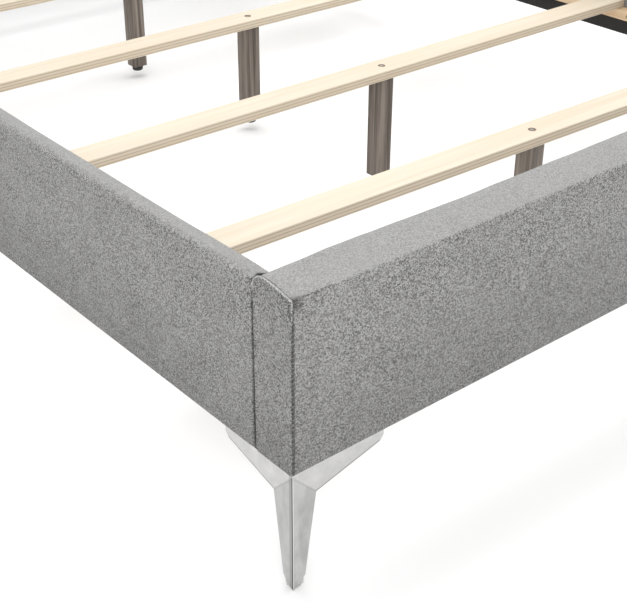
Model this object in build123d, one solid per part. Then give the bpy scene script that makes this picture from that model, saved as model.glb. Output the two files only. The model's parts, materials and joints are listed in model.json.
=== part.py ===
from build123d import *
import os

# Upholstered queen bed: a low padded footboard, two padded side rails, a padded headboard,
# five slats with centre support legs, and four sheet-metal corner legs.
# Millimetres. X runs across the bed, -Y is the foot, +Y is the head, Z is up.
# The origin is on the floor, under the middle of the bed.

# Overall size
WIDTH = 1620.0
INTERIOR_LENGTH = 2050.0
FOOT_THICKNESS = 69.0
HEAD_THICKNESS = 91.0
HEAD_TOP = 1220.0
PANEL_BOTTOM = 181.0

LENGTH = FOOT_THICKNESS + INTERIOR_LENGTH + HEAD_THICKNESS
HALF_WIDTH = WIDTH / 2
FOOT_FRONT = -LENGTH / 2
FOOT_BACK = FOOT_FRONT + FOOT_THICKNESS
HEAD_BACK = LENGTH / 2
HEAD_FRONT = HEAD_BACK - HEAD_THICKNESS

# Footboard
FOOT_CREASE = 418.0
FOOT_CROWN = 426.0
FOOT_BACK_RADIUS = 18.0
FOOT_PADDING = 12.0
END_CAP = 4.0
LINING = 1.0
BOARD_BASE = 3.0

# Side rails
RAIL_THICKNESS = 34.0
RAIL_TOP = 419.0
RAIL_OUTER_RADIUS = 11.0
RAIL_INNER_RADIUS = 9.0
RAIL_INNER_DROP = 5.0
RAIL_BOARD = 22.0
RAIL_PADDING = 8.0

# Ledgers and slats
LEDGER = 22.0
SLAT_WIDTH = 58.0
SLAT_THICKNESS = 18.0
SLAT_TOP = 259.0
SLAT_PLACES = (400.0, 799.0, 1209.0, 1651.0)
FIRST_SLAT_TURN = -1.2
SLAT_END_GAP = 1.5
WOOD_EDGE = 1.0

SLAT_BOTTOM = SLAT_TOP - SLAT_THICKNESS
LEDGER_BOTTOM = SLAT_BOTTOM - LEDGER
RAIL_INNER = HALF_WIDTH - RAIL_THICKNESS
SLAT_YS = [FOOT_FRONT + place for place in SLAT_PLACES]

# Centre support legs, a little out of line, and their screw-out feet, screwed fully in
SUPPORT_PLACES = list(zip((47.0, 62.0, 48.0, 35.0), SLAT_YS))
SUPPORT_SIDE = 35.0
SUPPORT_EDGE = 1.5
PAD_LIFT = 17.5
SUPPORT_BOTTOM = PAD_LIFT + 12.6
PAD_RADIUS = 13.0
PAD_HEIGHT = 9.4
PAD_SOLE_ROUND = 3.5
PAD_TOP_ROUND = 1.2
SOCKET_DEPTH = 6.4
STUD_RADIUS = 4.0
STUD_CLEARANCE = 0.05
STUD_LENGTH = 48.0
STUD_HEX = 13.0
STUD_HEX_HEIGHT = 2.5
INSERT_RADIUS = 6.0
INSERT_DEPTH = 14.0
STUD_POCKET_RADIUS = 5.0
STUD_POCKET_DEPTH = 54.0

# Sheet-metal corner legs
LEG_INSET = 3.0
LEG_SHEET = 3.0
LEG_SWEEP = 0.07
LEG_RIDGE_ROUND = 1.6
LEG_WING = 145.0
LEG_SIDE_WING = 131.0
LEG_KNEE = (39.0, 137.0)
LEG_CREASE_TOP = 12.0
LEG_TOE_HALF = 21.0
LEG_TOE_RISE = 13.0
LEG_BASE = 3.0
WING_TIP_HEIGHT = 11.0
WING_TIP_ROUND = 6.0
WING_TIP_SETBACK = 6.0
PLATE = 3.0
PLATE_FOOT_DEPTH = 52.0
PLATE_SIDE_DEPTH = 26.0
PLATE_SCREWS = ((55.0, 34.0), (120.0, 34.0), (17.0, 112.0))
PLATE_TOP = PANEL_BOTTOM
LEG_TOP = PLATE_TOP - PLATE
GLIDE_REACH = 16.0
GLIDE_GAP = 0.5
GLIDE_BLOCK_RISE = 22.0
GLIDE_SOLE = ((1, 1), (15, 2.5), (17, 9), (9, 17), (2.5, 15))
GLIDE_SOLE_HEIGHT = 2.8

# Headboard
BORDER = 100.0
BORDER_SKIN = 6.0
HEAD_CORNER_RADIUS = 24.0
HEAD_EDGE_RADIUS = 12.0
POST_WIDTH = 80.0
POST_DEPTH = 60.0
CROSSBAR_HEIGHT = 70.0
PLY = 9.0
CHANNEL_COUNT = 9
CHANNEL_BULGE = 8.0
PAD_BASE = 14.0
PAD_BOTTOM = 245.0
PAD_GAP = 1.0

# Fasteners
SCREW_RADIUS = 2.0
SCREW_HEAD_RADIUS = 4.2
SCREW_HEAD_HEIGHT = 2.2
BOLT_RADIUS = 4.0
BOLT_HEAD_RADIUS = 7.0
BOLT_HEAD_HEIGHT = 4.0
BOLT_HEAD_ROUND = 2.0
BRACKET_ARM = 60.0
BRACKET_SHEET = 3.0
BRACKET_HEIGHT = 90.0
BRACKET_Z = 360.0
BRACKET_BOLT_FROM_CORNER = 37.0
RAIL_BOLT_LENGTH = 24.0
PANEL_BOLT_LENGTH = 40.0
SLAT_SCREW_LENGTH = 50.0
LEDGER_SCREW_LENGTH = 38.0
PLATE_SCREW_LENGTH = 28.0


def box(x0, x1, y0, y1, z0, z1):
    """A box between two corners."""
    return Pos((x0 + x1) / 2, (y0 + y1) / 2, (z0 + z1) / 2) * Box(x1 - x0, y1 - y0, z1 - z0)


def rod(x, y, z, radius, length, direction=(0, 0, 1)):
    """A cylinder that starts at a point and runs along a direction."""
    plane = Plane(origin=(x, y, z), z_dir=direction)
    return extrude(plane * Circle(radius), length)


def mirrored(shape):
    """The same piece on the other side of the bed."""
    return mirror(shape, about=Plane.YZ)


def write(node, *shapes):
    """Save one node, which may be a group of separate solids."""
    solids = [solid for shape in shapes for solid in shape.solids()]
    whole = solids[0] if len(solids) == 1 else Compound(children=solids)
    export_step(whole, f"parts/{node}.step")


def screw(x, y, z, direction, length):
    """A countersunk wood screw: its head lies at the point and its shank runs inward."""
    plane = Plane(origin=(x, y, z), z_dir=direction)
    cone = plane * Pos(0, 0, SCREW_HEAD_HEIGHT / 2) * Cone(
        SCREW_HEAD_RADIUS, SCREW_RADIUS, SCREW_HEAD_HEIGHT
    )
    return cone + rod(x, y, z, SCREW_RADIUS, length, direction)


# ---------------------------------------------------------------- footboard

def footboard_profile():
    """Section of the padded footboard in the YZ plane, softly crowned on top."""
    front = FOOT_FRONT
    back = FOOT_BACK
    shoulder = FOOT_CROWN - FOOT_BACK_RADIUS
    crown_end = back - FOOT_BACK_RADIUS
    middle = (front + crown_end) / 2
    rise = FOOT_CREASE + 0.8 * (FOOT_CROWN - FOOT_CREASE)
    with BuildSketch(Plane.YZ) as sketch:
        with BuildLine():
            Line((front, PANEL_BOTTOM), (front, FOOT_CREASE))
            ThreePointArc((front, FOOT_CREASE), (middle, rise), (crown_end, FOOT_CROWN))
            RadiusArc((crown_end, FOOT_CROWN), (back, shoulder), FOOT_BACK_RADIUS)
            Line((back, shoulder), (back, PANEL_BOTTOM))
            Line((back, PANEL_BOTTOM), (front, PANEL_BOTTOM))
        make_face()
    return sketch.sketch


def footboard_slice(x0, x1):
    """The footboard's section, extruded across the bed from x0 to x1."""
    return extrude(Pos(x0, 0, 0) * footboard_profile(), x1 - x0, dir=(1, 0, 0))


def make_footboard():
    """Board, padded cover, two sewn end caps and the dark lining strip on the back."""
    reach = HALF_WIDTH - END_CAP
    board = box(
        -reach, reach, FOOT_FRONT + FOOT_PADDING, FOOT_BACK - FOOT_PADDING,
        PANEL_BOTTOM + BOARD_BASE, FOOT_CREASE - FOOT_PADDING,
    )
    lining = box(
        -RAIL_INNER, RAIL_INNER, FOOT_BACK - LINING, FOOT_BACK, PANEL_BOTTOM, LEDGER_BOTTOM
    )
    cover = footboard_slice(-reach, reach) - board - lining
    cap = footboard_slice(-HALF_WIDTH, -reach)
    write("footboard_board", board)
    write("footboard_cover", cover)
    write("footboard_lining", lining)
    write("footboard_end_cap_left", cap)
    write("footboard_end_cap_right", mirrored(cap))


# ---------------------------------------------------------------- side rails

def rail_profile():
    """Section of the left side rail in the XZ plane, rounded over a narrow top."""
    outer = -HALF_WIDTH
    inner = -RAIL_INNER
    inner_top = RAIL_TOP - RAIL_INNER_DROP
    outer_top = outer + RAIL_OUTER_RADIUS
    inner_start = inner - RAIL_INNER_RADIUS
    with BuildSketch(Plane.XZ) as sketch:
        with BuildLine():
            Line((outer, PANEL_BOTTOM), (outer, RAIL_TOP - RAIL_OUTER_RADIUS))
            RadiusArc((outer, RAIL_TOP - RAIL_OUTER_RADIUS), (outer_top, RAIL_TOP), RAIL_OUTER_RADIUS)
            Line((outer_top, RAIL_TOP), (inner_start, inner_top))
            RadiusArc((inner_start, inner_top), (inner, inner_top - RAIL_INNER_RADIUS), RAIL_INNER_RADIUS)
            Line((inner, inner_top - RAIL_INNER_RADIUS), (inner, PANEL_BOTTOM))
            Line((inner, PANEL_BOTTOM), (outer, PANEL_BOTTOM))
        make_face()
    return sketch.sketch


def make_rails():
    """Board, padded cover, lining strip and slat ledger of each side rail."""
    board_outer = -HALF_WIDTH + RAIL_PADDING
    whole = extrude(Pos(0, FOOT_BACK, 0) * rail_profile(), INTERIOR_LENGTH, dir=(0, 1, 0))
    board = box(
        board_outer, board_outer + RAIL_BOARD, FOOT_BACK, HEAD_FRONT,
        PANEL_BOTTOM + BOARD_BASE, RAIL_TOP - RAIL_PADDING - RAIL_INNER_DROP,
    )
    lining = box(
        -RAIL_INNER - LINING, -RAIL_INNER, FOOT_BACK, HEAD_FRONT, PANEL_BOTTOM, LEDGER_BOTTOM
    )
    ledger = box(
        -RAIL_INNER, -RAIL_INNER + LEDGER, FOOT_BACK + BRACKET_SHEET,
        HEAD_FRONT - BRACKET_SHEET, LEDGER_BOTTOM, SLAT_BOTTOM,
    )
    ledger = fillet(ledger.edges().filter_by(Axis.Y), WOOD_EDGE)
    cover = whole - board - lining
    for side, place in (("left", lambda shape: shape), ("right", mirrored)):
        write(f"rail_board_{side}", place(board))
        write(f"rail_cover_{side}", place(cover))
        write(f"rail_lining_{side}", place(lining))
        write(f"slat_ledger_{side}", place(ledger))


# ---------------------------------------------------------------- slats and support legs

def make_slats():
    """Four flat slats, each screwed to its support leg; the first lies a little out of square."""
    reach = RAIL_INNER - SLAT_END_GAP
    for number, (support_x, y) in enumerate(SUPPORT_PLACES, 1):
        slat = box(
            -reach, reach, y - SLAT_WIDTH / 2, y + SLAT_WIDTH / 2, SLAT_BOTTOM, SLAT_TOP
        )
        slat = fillet(slat.edges().filter_by(Axis.X), WOOD_EDGE)
        slat = slat - screw(support_x, y, SLAT_TOP, (0, 0, -1), SLAT_THICKNESS)
        if number == 1:
            slat = Pos(support_x, y, 0) * Rot(0, 0, FIRST_SLAT_TURN) * Pos(-support_x, -y, 0) * slat
        write(f"slat_{number}", slat)


def support_leg(x, y):
    """A square wooden leg with a blind hole below for the insert and the stud."""
    half = SUPPORT_SIDE / 2
    leg = box(x - half, x + half, y - half, y + half, SUPPORT_BOTTOM, SLAT_BOTTOM)
    leg = chamfer(leg.edges().filter_by(Axis.Z), SUPPORT_EDGE)
    leg = leg - rod(x, y, SUPPORT_BOTTOM, INSERT_RADIUS, INSERT_DEPTH)
    return leg - rod(x, y, SUPPORT_BOTTOM, STUD_POCKET_RADIUS, STUD_POCKET_DEPTH)


def thread_insert(x, y):
    """The threaded sleeve pressed into the foot of a support leg."""
    sleeve = rod(x, y, SUPPORT_BOTTOM, INSERT_RADIUS, INSERT_DEPTH)
    return sleeve - rod(x, y, SUPPORT_BOTTOM, STUD_RADIUS + STUD_CLEARANCE, INSERT_DEPTH)


def foot_pad(x, y):
    """The round plastic pad, with a soft sole and a socket that the stud turns in."""
    disc = rod(x, y, PAD_LIFT, PAD_RADIUS, PAD_HEIGHT)
    disc = fillet(disc.edges().group_by(Axis.Z)[-1], PAD_TOP_ROUND)
    disc = fillet(disc.edges().group_by(Axis.Z)[0], PAD_SOLE_ROUND)
    floor = PAD_LIFT + PAD_HEIGHT - SOCKET_DEPTH
    return disc - rod(x, y, floor, STUD_RADIUS + STUD_CLEARANCE, SOCKET_DEPTH)


def foot_stud(x, y):
    """The steel stud, with a thin hexagon for a spanner just above the pad."""
    base = PAD_LIFT + PAD_HEIGHT - SOCKET_DEPTH + STUD_CLEARANCE
    shank = rod(x, y, base, STUD_RADIUS, STUD_LENGTH)
    hex_plane = Plane(origin=(x, y, PAD_LIFT + PAD_HEIGHT + STUD_CLEARANCE))
    hexagon = extrude(hex_plane * RegularPolygon(STUD_HEX / 2, 6, major_radius=False), STUD_HEX_HEIGHT)
    return shank + hexagon


def make_supports():
    """A support leg, pad and stud under each slat, and their thread inserts."""
    for number, place in enumerate(SUPPORT_PLACES, 1):
        write(f"support_leg_{number}", support_leg(*place))
        write(f"leveler_pad_{number}", foot_pad(*place))
        write(f"leveler_stud_{number}", foot_stud(*place))
    write("leveler_inserts", *[thread_insert(*place) for place in SUPPORT_PLACES])


# ---------------------------------------------------------------- corner legs

def facet(points, wall_points, thickness):
    """A flat sheet whose outline has corners (x, z), lying on a plane through wall_points."""
    plane = Plane(
        origin=wall_points[0],
        x_dir=Vector(*wall_points[1]) - Vector(*wall_points[0]),
        z_dir=(Vector(*wall_points[1]) - Vector(*wall_points[0])).cross(
            Vector(*wall_points[2]) - Vector(*wall_points[0])
        ),
    )
    normal = plane.z_dir
    corners = []
    for x, z in points:
        origin = plane.origin
        y = origin.Y - (normal.X * (x - origin.X) + normal.Z * (z - origin.Z)) / normal.Y
        corners.append((x, y, z))
    outline = Face(Wire.make_polygon([Vector(*corner) for corner in corners], close=True))
    return Solid.extrude(outline, Vector(0, thickness, 0))


def leg_side(wing):
    """One face of a corner leg: the tapered post and the wing that folds off it."""
    knee_x, knee_z = LEG_KNEE
    toe = LEG_BASE + LEG_TOE_RISE
    post = facet(
        [
            (0, LEG_BASE), (0, LEG_TOP), (LEG_CREASE_TOP, LEG_TOP), (knee_x, knee_z),
            (LEG_TOE_HALF, toe), (LEG_TOE_HALF * 0.6, LEG_BASE + LEG_TOE_RISE * 0.3),
        ],
        [(0, 0, 0), (0, 0, 100), (100, 100 * LEG_SWEEP, 0)],
        LEG_SHEET,
    )
    tip_low = LEG_TOP - WING_TIP_HEIGHT + WING_TIP_ROUND
    slope = (LEG_TOP - WING_TIP_HEIGHT - knee_z) / (wing - knee_x)
    tip_under = knee_z + slope * (wing - WING_TIP_SETBACK - knee_x)
    web = facet(
        [
            (LEG_CREASE_TOP, LEG_TOP), (knee_x, knee_z), (wing - WING_TIP_SETBACK, tip_under),
            (wing, tip_low), (wing, LEG_TOP),
        ],
        [
            (LEG_CREASE_TOP, LEG_CREASE_TOP * LEG_SWEEP, LEG_TOP),
            (knee_x, knee_x * LEG_SWEEP, knee_z),
            (wing, 0, LEG_TOP),
        ],
        LEG_SHEET,
    )
    return post + web


def corner_leg():
    """The leg of the foot-left corner, folded from sheet, with its ridge at the corner."""
    front = leg_side(LEG_WING)
    side = mirror(leg_side(LEG_SIDE_WING), about=Plane(origin=(0, 0, 0), z_dir=(1, -1, 0)))
    leg = front + side
    ridge = leg.edges().filter_by(Axis.Z).sort_by(lambda edge: edge.center().X + edge.center().Y)[0]
    leg = fillet(ridge, LEG_RIDGE_ROUND)
    return Pos(-HALF_WIDTH + LEG_INSET, FOOT_FRONT + LEG_INSET, 0) * leg


def leg_plate():
    """The L-shaped mounting plate on top of a corner leg."""
    x0 = -HALF_WIDTH + LEG_INSET
    y0 = FOOT_FRONT + LEG_INSET
    foot_arm = box(x0, x0 + LEG_WING, y0, y0 + PLATE_FOOT_DEPTH, LEG_TOP, PLATE_TOP)
    side_arm = box(x0, x0 + PLATE_SIDE_DEPTH, y0, y0 + LEG_SIDE_WING, LEG_TOP, PLATE_TOP)
    plate = foot_arm + side_arm
    for hole in plate_screws():
        plate = plate - hole
    return plate


def plate_screws():
    """The screws that hold a mounting plate: two into the footboard, one into the rail."""
    x0 = -HALF_WIDTH + LEG_INSET
    y0 = FOOT_FRONT + LEG_INSET
    return [
        screw(x0 + x, y0 + y, LEG_TOP, (0, 0, 1), PLATE_SCREW_LENGTH) for x, y in PLATE_SCREWS
    ]


def leg_glide():
    """The small plastic block in the toe of a corner leg, which stands on the floor."""
    x0 = -HALF_WIDTH + LEG_INSET
    y0 = FOOT_FRONT + LEG_INSET
    near = LEG_SHEET + LEG_TOE_HALF * LEG_SWEEP + GLIDE_GAP
    far = near + GLIDE_REACH
    block = extrude(Polygon((near, near), (far, near), (near, far), align=None), GLIDE_BLOCK_RISE)
    sole = extrude(Polygon(*GLIDE_SOLE, align=None), GLIDE_SOLE_HEIGHT)
    return Pos(x0, y0, 0) * (block + sole)


def four_corners(shape, head_shift=0.0):
    """A foot-left piece and its copies at the other three corners of the bed."""
    head_left = Pos(0, head_shift, 0) * mirror(shape, about=Plane.XZ)
    return {
        "foot_left": shape,
        "foot_right": mirrored(shape),
        "head_left": head_left,
        "head_right": mirrored(head_left),
    }


def make_corner_legs():
    """Four chromed legs with their plates, screws and glides."""
    for corner, leg in four_corners(corner_leg()).items():
        write(f"corner_leg_{corner}", leg)
    write("corner_leg_plates", *four_corners(leg_plate()).values())
    write("corner_leg_glides", *four_corners(leg_glide()).values())
    screws = [copy for item in plate_screws() for copy in four_corners(item).values()]
    write("corner_leg_screws", *screws)


# ---------------------------------------------------------------- headboard

def head_outline(inset, z_bottom):
    """The headboard's front outline, with rounded top corners, drawn in from its edge."""
    half = HALF_WIDTH - inset
    top = HEAD_TOP - inset
    radius = max(HEAD_CORNER_RADIUS - inset, 2.0)
    with BuildSketch(Plane.XZ) as sketch:
        with BuildLine():
            Polyline((-half, top - radius), (-half, z_bottom), (half, z_bottom), (half, top - radius))
            RadiusArc((half, top - radius), (half - radius, top), -radius)
            Line((half - radius, top), (-half + radius, top))
            RadiusArc((-half + radius, top), (-half, top - radius), -radius)
        make_face()
    return sketch.sketch


def headboard_frame():
    """Two posts, three crossbars and the plywood sheet on the front of them."""
    outer = HALF_WIDTH - BORDER_SKIN
    inner = outer - POST_WIDTH
    front = HEAD_BACK - LINING - POST_DEPTH
    back = HEAD_BACK - LINING
    top = HEAD_TOP - BORDER_SKIN - HEAD_CORNER_RADIUS / 3
    base = PANEL_BOTTOM + BOARD_BASE
    post = box(-outer, -inner, front, back, base, top)
    middle = (base + top) / 2
    bars = {
        "bottom": (base, base + CROSSBAR_HEIGHT),
        "middle": (middle - CROSSBAR_HEIGHT / 2, middle + CROSSBAR_HEIGHT / 2),
        "top": (top - CROSSBAR_HEIGHT, top),
    }
    pieces = {"headboard_post_left": post, "headboard_post_right": mirrored(post)}
    for name, (z0, z1) in bars.items():
        pieces[f"headboard_crossbar_{name}"] = box(-inner, inner, front, back, z0, z1)
    pieces["headboard_panel"] = box(-outer, outer, front - PLY, front, base, top)
    return pieces


def pad_opening():
    """The window in the border that the channelled pad fills."""
    half = HALF_WIDTH - BORDER
    front = HEAD_BACK - LINING - POST_DEPTH - PLY
    return -half, half, HEAD_FRONT, front, PAD_BOTTOM, HEAD_TOP - BORDER


def channel_pad():
    """The front pad: a flat base with nine upright channels rolling out of it."""
    x0, x1, y0, y1, z0, z1 = pad_opening()
    base = box(x0 + PAD_GAP, x1 - PAD_GAP, y1 - PAD_BASE, y1, z0 + PAD_GAP, z1 - PAD_GAP)
    pitch = (x1 - x0 - 2 * PAD_GAP) / CHANNEL_COUNT
    depth = y1 - PAD_BASE - (y0 - CHANNEL_BULGE)
    radius = (pitch * pitch / 4 + depth * depth) / (2 * depth)
    pad = base
    for i in range(CHANNEL_COUNT):
        x = x0 + PAD_GAP + (i + 0.5) * pitch
        centre_y = y0 - CHANNEL_BULGE + radius
        roll = rod(x, centre_y, z0 + PAD_GAP, radius, z1 - z0 - 2 * PAD_GAP)
        slab = box(
            x - pitch / 2, x + pitch / 2, y0 - CHANNEL_BULGE - 1, y1 - PAD_BASE,
            z0 + PAD_GAP, z1 - PAD_GAP,
        )
        pad = pad + (roll & slab)
    return pad


def make_headboard():
    """Frame, padded border, channelled pad and the dark lining on the back."""
    pieces = headboard_frame()
    whole = extrude(Pos(0, HEAD_FRONT, 0) * head_outline(0, PANEL_BOTTOM), HEAD_THICKNESS, dir=(0, 1, 0))
    rim = [
        edge for edge in whole.edges().filter_by_position(Axis.Y, HEAD_FRONT - 1, HEAD_FRONT + 1)
        if edge.center().Z > PANEL_BOTTOM + 1
    ]
    whole = fillet(rim, HEAD_EDGE_RADIUS)
    lining_skin = extrude(
        Pos(0, HEAD_BACK - LINING, 0) * head_outline(BORDER_SKIN, PANEL_BOTTOM + BOARD_BASE),
        LINING, dir=(0, 1, 0),
    )
    x0, x1, y0, y1, z0, z1 = pad_opening()
    window = box(x0, x1, y0, y1, z0, z1)
    bottom_z = PANEL_BOTTOM + BOARD_BASE
    inner = HALF_WIDTH - BORDER_SKIN
    frame_front = HEAD_BACK - LINING - POST_DEPTH - PLY
    frame_top = HEAD_TOP - BORDER_SKIN - HEAD_CORNER_RADIUS / 3
    hollow = box(-inner, inner, frame_front, HEAD_BACK - LINING, bottom_z, frame_top)
    border = whole - lining_skin - window - hollow
    for node, piece in pieces.items():
        write(node, piece)
    write("headboard_border", border)
    write("headboard_pad", channel_pad())
    write("headboard_lining", lining_skin)


# ---------------------------------------------------------------- joining hardware

def rail_bracket():
    """A steel angle in the foot-left inner corner, joining the rail to the footboard."""
    x = -RAIL_INNER
    y = FOOT_BACK
    z0 = BRACKET_Z - BRACKET_HEIGHT / 2
    z1 = BRACKET_Z + BRACKET_HEIGHT / 2
    along_rail = box(x, x + BRACKET_SHEET, y, y + BRACKET_ARM, z0, z1)
    along_foot = box(x, x + BRACKET_ARM, y, y + BRACKET_SHEET, z0, z1)
    bracket = along_rail + along_foot
    for hole in bracket_shanks():
        bracket = bracket - hole
    return bracket


def bracket_places():
    """The start point and direction of each of the four bolts in a bracket."""
    x = -RAIL_INNER + BRACKET_SHEET
    y = FOOT_BACK + BRACKET_SHEET
    along = BRACKET_BOLT_FROM_CORNER
    places = []
    for z in (BRACKET_Z - BRACKET_HEIGHT / 4, BRACKET_Z + BRACKET_HEIGHT / 4):
        places.append(((x, y + along, z), (-1, 0, 0), RAIL_BOLT_LENGTH))
        places.append(((x + along, y, z), (0, -1, 0), PANEL_BOLT_LENGTH))
    return places


def bracket_shanks():
    """The shanks of the bracket bolts."""
    return [rod(*point, BOLT_RADIUS, length, way) for point, way, length in bracket_places()]


def bracket_bolts():
    """Button-head bolts, with their heads on the bracket."""
    bolts = []
    for (point, way, _), shank in zip(bracket_places(), bracket_shanks()):
        back = tuple(-part for part in way)
        head = rod(*point, BOLT_HEAD_RADIUS, BOLT_HEAD_HEIGHT, back)
        rims = head.edges().sort_by(lambda edge: Vector(*back).dot(edge.center()))
        head = fillet(rims[-1:], BOLT_HEAD_ROUND)
        bolts.append(head + shank)
    return bolts


def ledger_screws():
    """Screws through a ledger into its rail board, one beside each slat."""
    x = -RAIL_INNER + LEDGER
    z = LEDGER_BOTTOM + LEDGER / 2
    return [screw(x, y - SLAT_WIDTH, z, (-1, 0, 0), LEDGER_SCREW_LENGTH) for y in SLAT_YS]


def make_hardware():
    """Corner brackets, their bolts, and the screws of the slats and ledgers."""
    head_shift = FOOT_THICKNESS - HEAD_THICKNESS
    write("corner_brackets", *four_corners(rail_bracket(), head_shift).values())
    bolts = [copy for bolt in bracket_bolts() for copy in four_corners(bolt, head_shift).values()]
    write("corner_bracket_bolts", *bolts)
    down = (0, 0, -1)
    screws = [screw(x, y, SLAT_TOP, down, SLAT_SCREW_LENGTH) for x, y in SUPPORT_PLACES]
    write("slat_screws", *screws)
    left = ledger_screws()
    write("ledger_screws", *left, *[mirrored(item) for item in left])


os.makedirs("parts", exist_ok=True)
make_footboard()
make_rails()
make_slats()
make_supports()
make_corner_legs()
make_headboard()
make_hardware()
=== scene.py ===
import json
import math

import bmesh
import bpy
import numpy as np
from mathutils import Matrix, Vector, noise


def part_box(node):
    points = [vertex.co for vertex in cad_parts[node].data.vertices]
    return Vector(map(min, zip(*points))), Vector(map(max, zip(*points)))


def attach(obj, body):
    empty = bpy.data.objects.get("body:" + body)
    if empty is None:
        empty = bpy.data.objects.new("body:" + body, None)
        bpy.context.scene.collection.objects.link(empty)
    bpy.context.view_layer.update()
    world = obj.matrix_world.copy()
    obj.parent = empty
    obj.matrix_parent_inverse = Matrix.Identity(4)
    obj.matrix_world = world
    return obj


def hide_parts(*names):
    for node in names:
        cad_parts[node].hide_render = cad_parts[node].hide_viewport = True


# An upholstered queen bed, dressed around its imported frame.
# Metres. X runs across the bed, -Y is the foot, +Y is the head, Z is up.

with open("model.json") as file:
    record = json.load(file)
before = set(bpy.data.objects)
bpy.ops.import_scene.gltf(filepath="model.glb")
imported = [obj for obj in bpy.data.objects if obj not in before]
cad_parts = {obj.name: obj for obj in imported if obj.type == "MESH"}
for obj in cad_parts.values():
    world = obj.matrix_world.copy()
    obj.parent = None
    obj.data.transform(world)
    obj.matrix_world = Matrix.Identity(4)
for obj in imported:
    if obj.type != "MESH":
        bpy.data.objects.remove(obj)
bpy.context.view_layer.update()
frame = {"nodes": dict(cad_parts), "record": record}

BODY = "bed_frame"
GRID = 0.009
UNDER_LINING = 0.0004
STITCH_LENGTH = 0.0042
STITCH_PITCH = 0.0064
STITCH_RADIUS = 0.0006
STITCH_SIDES = 6
STITCH_START = 0.15
ON_BOARD = 1e-4
WELD = 1e-5
NEVER_ZERO = 1e-9
CLOTH_FRAMES = 20


# ---------------------------------------------------------------- places read from the frame

FOOT_LO, FOOT_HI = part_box("footboard_cover")
CAP_LO, CAP_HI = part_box("footboard_end_cap_left")
FOOT_BOARD_LO, FOOT_BOARD_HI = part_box("footboard_board")
RAIL_LO, RAIL_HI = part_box("rail_cover_left")
RAIL_BOARD_LO, RAIL_BOARD_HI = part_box("rail_board_left")
HEAD_LO, HEAD_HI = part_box("headboard_border")
PANEL_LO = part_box("headboard_panel")[0]
PAD_LO, PAD_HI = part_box("headboard_pad")
LINING_LO, LINING_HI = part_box("headboard_lining")
FOOT_LINING_LO, FOOT_LINING_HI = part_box("footboard_lining")
RAIL_LINING_LO, RAIL_LINING_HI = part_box("rail_lining_left")
LEG_LO, LEG_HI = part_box("corner_leg_foot_left")
LEG_HI_X = -LEG_LO.x
LEG_HI_Y = -LEG_LO.y

# The crown's drop to the front crease, and the corner leg's fold, knee and wing tip.
CREASE_DROP = 0.008
FOLD_SLOPE = 1.05
KNEE_OUT = 0.039
KNEE_Z = 0.137
WING_TIP = 0.011

# Greys of the velvet's pile, from its darkest tuft to its palest, of its painted top highlight and its
# painted shade low down, and of the painted shade in a deep seam.
PILE_DARK = 0.035
PILE_PALE = 0.56
PILE_PATCH = 0.46
PILE_BRUSHED = 0.15
PAINTED_TOP_LIGHT = 0.395
PAINTED_LOW_SHADE = 0.10
PAINTED_SHADE_GREY = 0.022
TUFT_SCALE = 760.0
FINE_SCALE = 1100.0
WOBBLE_SCALE = 900.0

# Painted shade marks on the velvet, at the rail joint, the cap edges, the seams, the pucker and the
# crease: reach, strength and, where given, the share of the reach at full strength.
JOINT_FADE = (0.0060, 0.86, 0.5)
CAP_BACK_FADE = (0.0016, 0.9)
CAP_FRONT_FADE = (0.0010, 0.75)
SEAM_FADE = (0.0013, 0.80, 0.4)
PUCKER_DROP = 0.007
PUCKER_HEIGHT_FADE = (0.016, 1.0, 0.2)
PUCKER_WIDTH_FADE = (0.019, 1.0, 0.15)
PUCKER_DEPTH_FADE = (0.012, 0.72)
CREASE_FADE = (0.0016, 0.34)
CREASE_DEPTH_FADE = (0.005, 1.0)

# Painted shade marks on the chrome, at the wing edges and the fold, in the same form, and how far the
# ridge's painted highlight and shade and its painted dark stripe reach.
WING_EDGE_FADE = (0.0024, 0.62, 0.4)
FOLD_FADE = (0.0026, 0.26)
FOLD_BLUR = 0.0008
RIDGE_REACH = (0.006, 0.004)
STRIPE_REACH = (0.0075, 0.006)


# ---------------------------------------------------------------- node materials

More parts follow.
